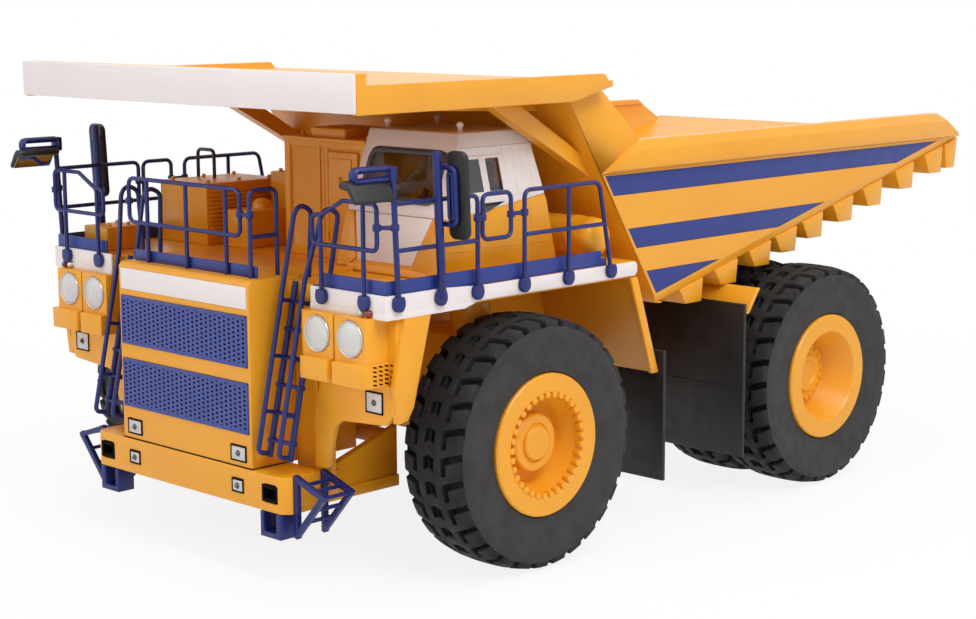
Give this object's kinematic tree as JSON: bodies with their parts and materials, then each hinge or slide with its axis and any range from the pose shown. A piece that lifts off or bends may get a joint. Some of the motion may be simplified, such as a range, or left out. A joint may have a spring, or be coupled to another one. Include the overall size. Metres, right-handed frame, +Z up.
{
  "type": "mining dump truck display model",
  "caption": "Scale model of a rigid mining dump truck with rolling twin-tyre wheels, linked steering and a dump body that tips on hoist cylinders.",
  "frame": {"origin": "on the ground under the middle of the model's length and width", "axes": "+X forward, +Y to the model's left, +Z up"},
  "size_m": [0.256, 0.1454, 0.1196],
  "materials": {
    "yellow_plastic": "semi-gloss moulded plastic",
    "yellow_metal": "semi-gloss paint on diecast metal",
    "blue_plastic": "semi-gloss moulded plastic",
    "grille_blue": "satin printed plastic",
    "white_paint": "semi-gloss",
    "black_plastic": "satin",
    "tyre": "matte",
    "glass": "clear",
    "lamp": "clear ribbed lens on a silvered reflector",
    "steel": "polished rod"
  },
  "bodies": {
    "chassis": {"frame": "yellow_metal", "cross_members": "yellow_metal", "front_arms": "yellow_metal", "front_axle": "yellow_metal", "rear_axle": "yellow_metal", "rear_struts": "yellow_metal", "bumper": "yellow_plastic", "radiator_housing": "yellow_plastic", "front_fenders": "yellow_plastic", "engine_bay": "yellow_plastic", "arch_walls": "yellow_plastic", "deck": "yellow_plastic", "cab_lower": "yellow_plastic", "control_cabinet": "yellow_plastic", "intake_boxes": "yellow_plastic", "air_tank": "yellow_plastic", "tow_hoops": "blue_plastic", "bumper_steps": "blue_plastic", "toe_boards": "blue_plastic", "side_rails": "blue_plastic", "centre_rail": "blue_plastic", "ladders": "blue_plastic", "mirror_brackets": "blue_plastic", "grilles": "grille_blue", "nose_band": "white_paint", "deck_fascia": "white_paint", "cab_front_panel": "white_paint", "cab_upper": "white_paint", "front_flaps": "black_plastic", "mirrors": "black_plastic", "cab_interior": "black_plastic", "cab_glass": "glass", "square_lamps": "lamp", "headlamp_lenses": "lamp"},
    "dump_body": {"dump_shell": "yellow_metal", "dump_ribs": "yellow_metal", "body_beams": "yellow_metal", "rear_mudguards": "yellow_metal", "dump_stripes": "blue_plastic", "rear_flaps": "black_plastic", "canopy": "yellow_metal", "canopy_ribs": "yellow_metal", "canopy_braces": "yellow_metal", "canopy_band": "white_paint"},
    "steer_left": {"knuckle_left": "yellow_metal"},
    "steer_right": {"knuckle_right": "yellow_metal"},
    "track_rod": {"tie_rod": "yellow_plastic"},
    "wheel_front_left": {"tyre_front_left": "tyre", "rim_front_left": "yellow_plastic"},
    "wheel_front_right": {"tyre_front_right": "tyre", "rim_front_right": "yellow_plastic"},
    "wheels_rear_left": {"tyres_rear_left": "tyre", "rim_rear_left": "yellow_plastic"},
    "wheels_rear_right": {"tyres_rear_right": "tyre", "rim_rear_right": "yellow_plastic"},
    "hoist_barrel_pair": {"hoist_barrels": "yellow_plastic"},
    "hoist_stage_pair": {"hoist_stages": "steel"},
    "hoist_rod_pair": {"hoist_rods": "steel"}
  },
  "joints": [
    {"name": "body_tip", "type": "hinge", "parent": "chassis", "child": "dump_body", "pos_m": [-0.069, 0, 0.056], "axis": [0, -1, 0], "range_deg": [0, 45]},
    {"name": "hoist_swing", "type": "hinge", "parent": "chassis", "child": "hoist_barrel_pair", "pos_m": [-0.011, 0, 0.02], "axis": [0, -1, 0], "range_deg": [0, 20]},
    {"name": "stage_slide", "type": "slide", "parent": "hoist_barrel_pair", "child": "hoist_stage_pair", "axis": [0.1305, 0, 0.9915], "range_m": [0, 0.0235]},
    {"name": "rod_slide", "type": "slide", "parent": "hoist_stage_pair", "child": "hoist_rod_pair", "axis": [0.1305, 0, 0.9915], "range_m": [0, 0.0235]},
    {"name": "steer_left", "type": "hinge", "parent": "chassis", "child": "steer_left", "pos_m": [0.071, 0.0455, 0.0306], "axis": [0, 0, 1], "range_deg": [-30, 30]},
    {"name": "steer_right", "type": "hinge", "parent": "chassis", "child": "steer_right", "pos_m": [0.071, -0.0455, 0.0306], "axis": [0, 0, 1], "range_deg": [-31, 31]},
    {"name": "track_rod_end", "type": "hinge", "parent": "steer_left", "child": "track_rod", "pos_m": [0.057, 0.0455, 0.024], "axis": [0, 0, 1], "range_deg": [-31, 31]},
    {"name": "wheel_spin_front_left", "type": "hinge", "parent": "steer_left", "child": "wheel_front_left", "pos_m": [0.071, 0.0621, 0.0306], "axis": [0, 1, 0], "continuous": true},
    {"name": "wheel_spin_front_right", "type": "hinge", "parent": "steer_right", "child": "wheel_front_right", "pos_m": [0.071, -0.0621, 0.0306], "axis": [0, 1, 0], "continuous": true},
    {"name": "wheel_spin_rear_left", "type": "hinge", "parent": "chassis", "child": "wheels_rear_left", "pos_m": [-0.0438, 0.0516, 0.0306], "axis": [0, 1, 0], "continuous": true},
    {"name": "wheel_spin_rear_right", "type": "hinge", "parent": "chassis", "child": "wheels_rear_right", "pos_m": [-0.0438, -0.0516, 0.0306], "axis": [0, 1, 0], "continuous": true}
  ],
  "couplings": [
    {"joint": "hoist_swing", "follows": "body_tip", "ratio": 0.395},
    {"joint": "stage_slide", "follows": "body_tip", "m_per_rad": 0.02863},
    {"joint": "rod_slide", "follows": "body_tip", "m_per_rad": 0.02863},
    {"joint": "steer_right", "follows": "steer_left", "ratio": 1},
    {"joint": "track_rod_end", "follows": "steer_left", "ratio": -1}
  ]
}
